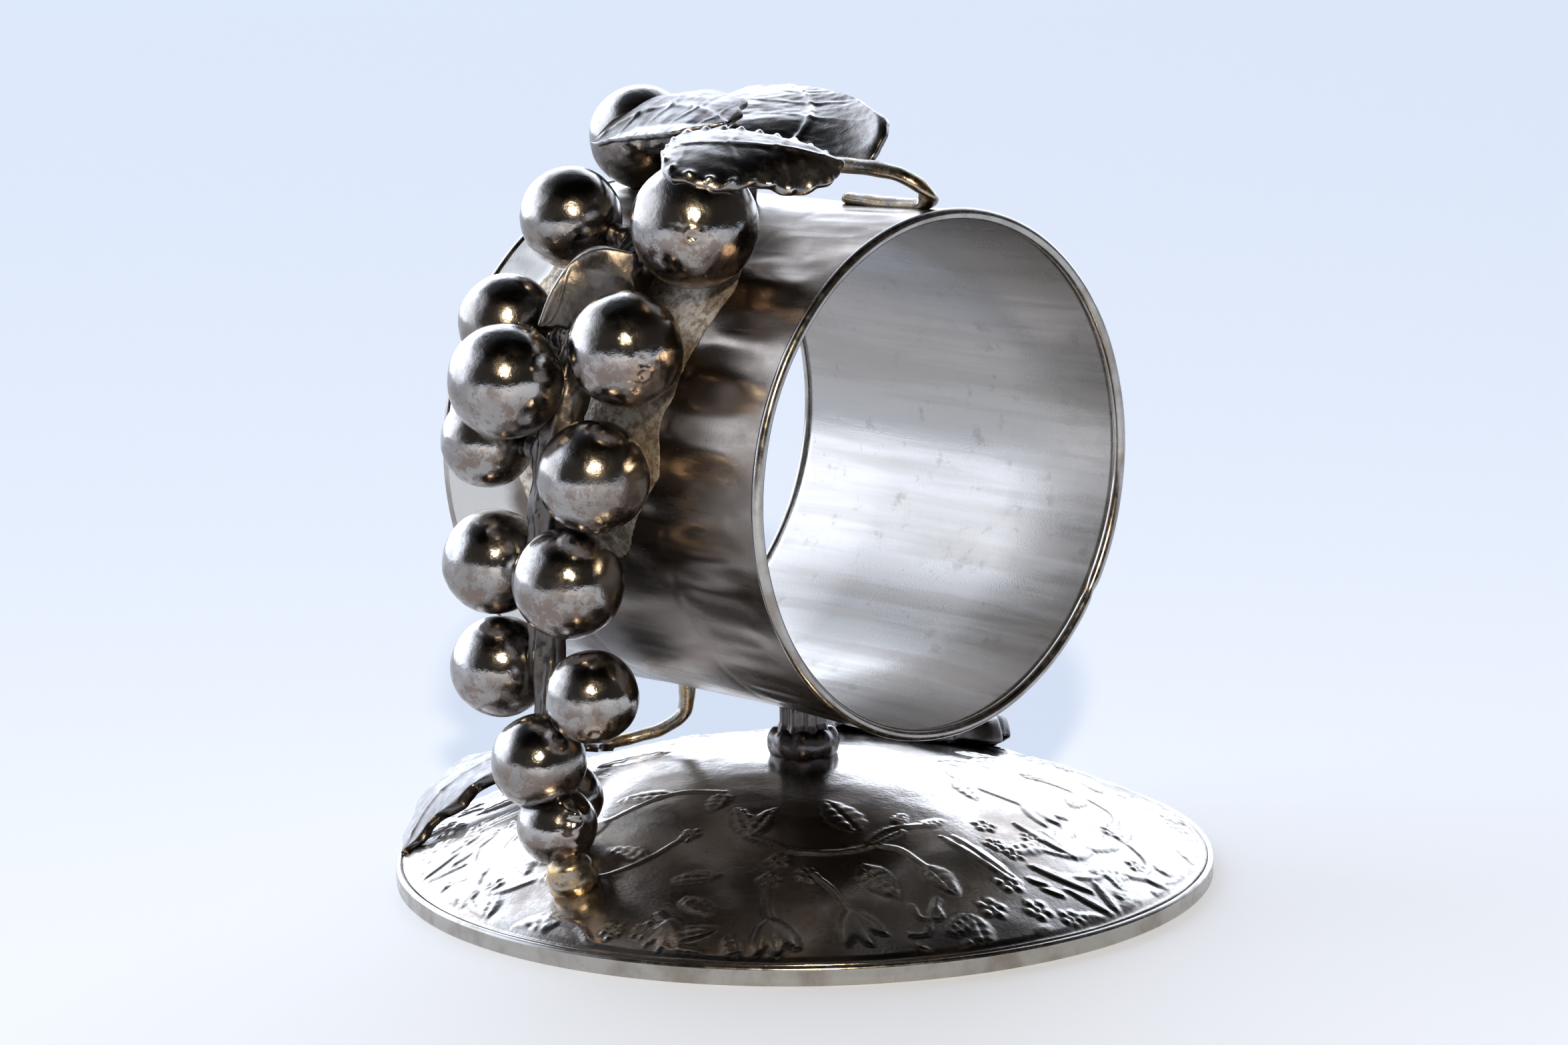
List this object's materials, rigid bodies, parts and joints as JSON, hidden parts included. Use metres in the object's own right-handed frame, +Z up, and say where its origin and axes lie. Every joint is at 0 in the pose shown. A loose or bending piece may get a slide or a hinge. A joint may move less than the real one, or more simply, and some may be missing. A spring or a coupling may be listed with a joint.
{
  "type": "figural napkin ring",
  "caption": "Round-footed napkin ring: open flared sleeve on a short fluted post, with a hanging bunch of grapes and vine leaves; also stands as a table holder.",
  "frame": {"origin": "centre of the foot's underside, on the surface it stands on", "axes": "+Z up; +X along the sleeve towards its front rim; the bunch of grapes hangs on the -Y side"},
  "size_m": [0.0686, 0.0686, 0.0651],
  "materials": {
    "plate": "worn silver plate, satin with fine scratches",
    "plate_dark": "tarnished silver plate, dark grey-brown",
    "berry": "bright cast berries, cloudy tarnish",
    "worn_brass": "plate worn through to brass"
  },
  "bodies": {
    "root": {"foot_dome": "plate_dark", "foot_rim": "plate", "post_collar": "plate_dark", "post_neck": "plate_dark", "ring_sleeve": "plate", "rim_wire_front": "plate", "rim_wire_back": "plate", "grape_01": "berry", "grape_02": "berry", "grape_03": "berry", "grape_04": "berry", "grape_05": "berry", "grape_06": "berry", "grape_07": "berry", "grape_08": "berry", "grape_09": "berry", "grape_10": "berry", "grape_11": "berry", "grape_12": "berry", "grape_13": "berry", "grape_14": "berry", "grape_15": "berry", "grape_tail": "worn_brass", "bunch_stalk": "plate_dark", "bract": "plate_dark", "leaf_top_front": "plate", "leaf_top_left": "plate_dark", "leaf_top_right": "plate_dark", "vine_stem_top": "worn_brass", "leaf_foot_left": "plate_dark", "tendril_left": "worn_brass", "leaf_foot_right": "plate_dark", "tendril_right": "worn_brass"}
  },
  "joints": []
}
